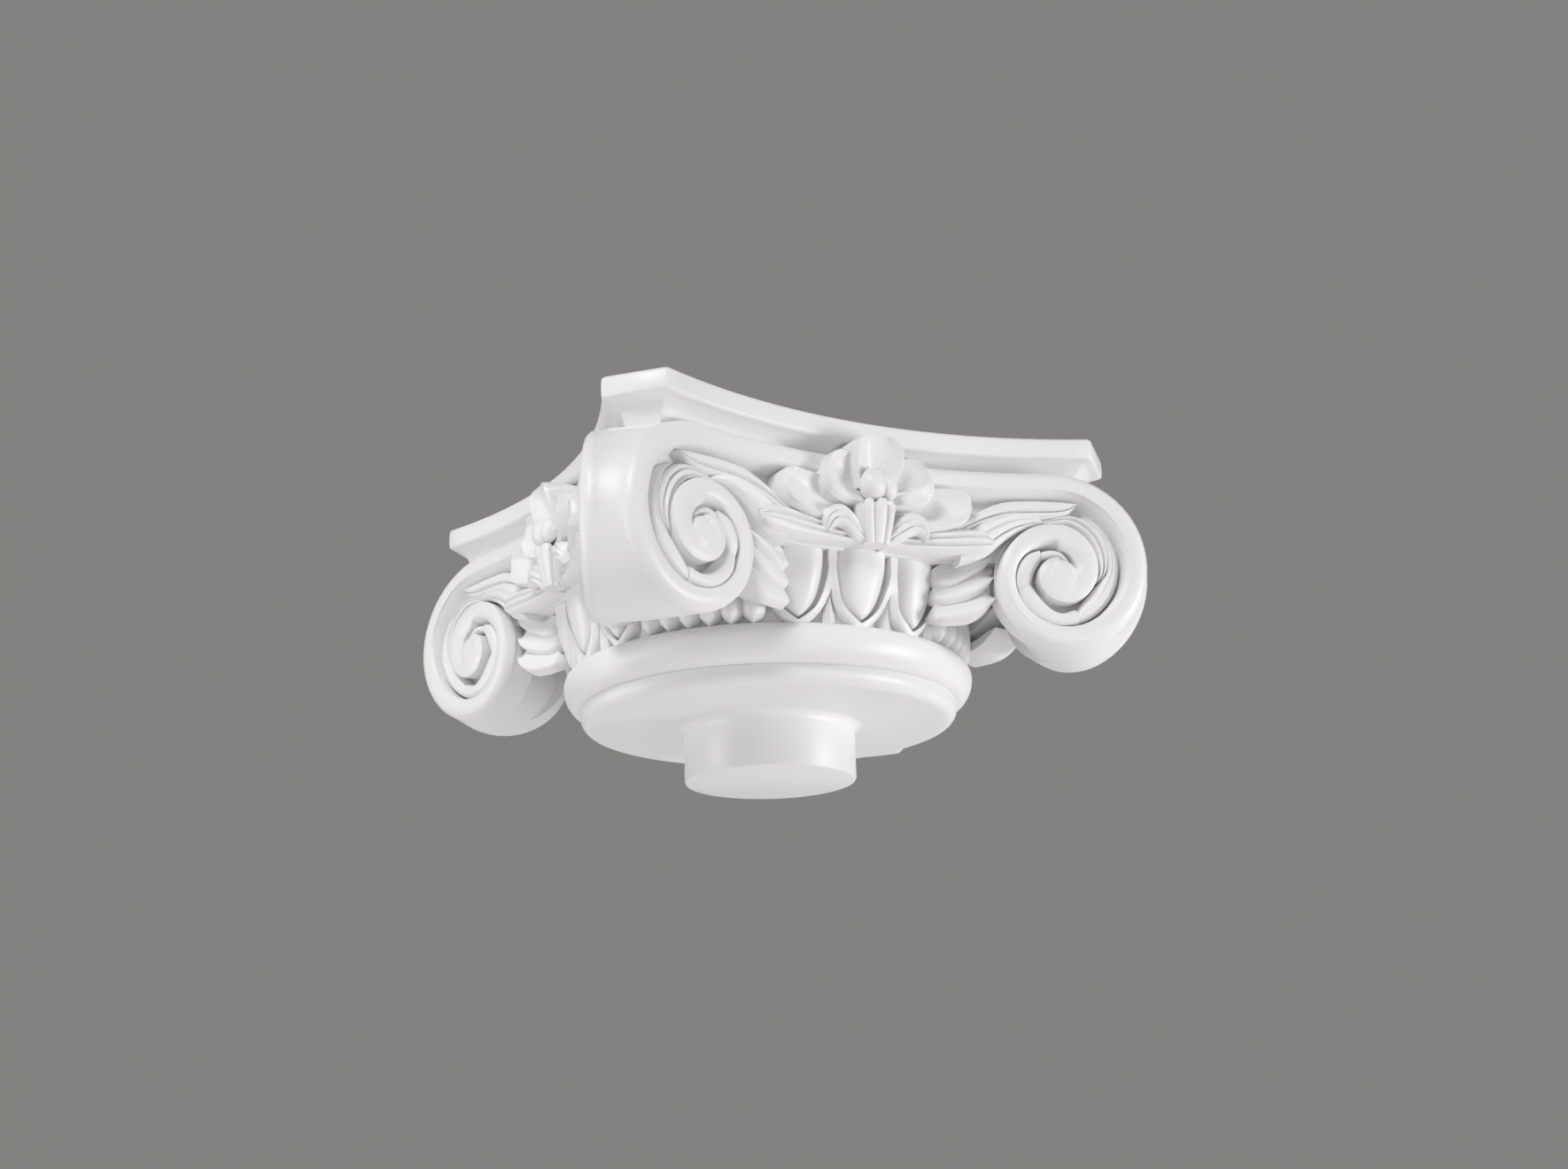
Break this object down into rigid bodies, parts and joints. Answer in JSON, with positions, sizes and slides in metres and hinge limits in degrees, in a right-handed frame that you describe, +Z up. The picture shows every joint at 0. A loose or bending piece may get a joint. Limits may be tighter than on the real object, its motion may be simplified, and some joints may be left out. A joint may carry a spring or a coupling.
{
  "type": "ionic capital",
  "caption": "Moulded white angular Ionic column capital with corner scrolls, egg-and-dart ring, flowered concave faces, a flat top and a locating spigot below.",
  "frame": {"origin": "middle of the spigot's flat underside, which is also the middle of the bounding box at its lowest level", "axes": "+Z up along the column's axis, X and Y square to the abacus sides"},
  "size_m": [0.3996, 0.3996, 0.2034],
  "materials": {
    "white_moulding": "white satin primer coat on rigid moulded foam"
  },
  "bodies": {
    "root": {"capital": "white_moulding"}
  },
  "joints": []
}
